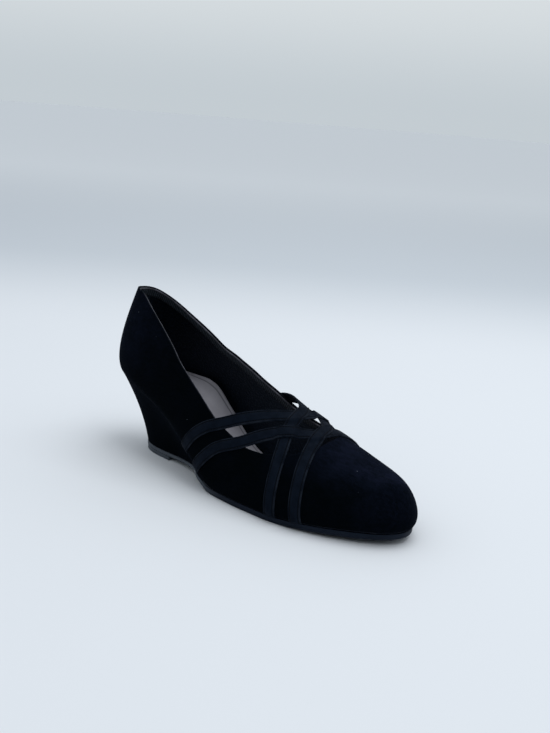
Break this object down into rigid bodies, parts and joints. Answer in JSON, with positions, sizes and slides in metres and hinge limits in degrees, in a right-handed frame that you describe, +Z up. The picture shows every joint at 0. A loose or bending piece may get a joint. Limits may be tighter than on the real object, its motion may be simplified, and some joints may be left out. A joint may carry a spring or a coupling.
{
  "type": "wedge pump",
  "caption": "Right women's slip-on pump on a covered wedge heel: closed back, low round throat and woven bands that cross over the instep.",
  "frame": {"origin": "bottom centre of the bounding box, on the plane the shoe stands on", "axes": "+X towards the toe, +Y towards the inner side of the right foot, +Z up"},
  "size_m": [0.2488, 0.083, 0.1174],
  "materials": {
    "upper_suede": "blue-black suede with a short soft nap",
    "wedge_suede": "blue-black suede cover drawn smooth over the wedge",
    "insole_sock": "grey-mauve satin sock",
    "outsole_rubber": "dark grey satin rubber",
    "lift_rubber": "dark grey satin rubber",
    "strap_fabric": "dark slate smooth elastic webbing with turned edges"
  },
  "bodies": {
    "root": {"upper": "upper_suede", "wedge": "wedge_suede", "insole": "insole_sock", "outsole": "outsole_rubber", "heel_lift": "lift_rubber", "strap_a1": "strap_fabric", "strap_a2": "strap_fabric", "strap_b1": "strap_fabric", "strap_b2": "strap_fabric"}
  },
  "joints": []
}
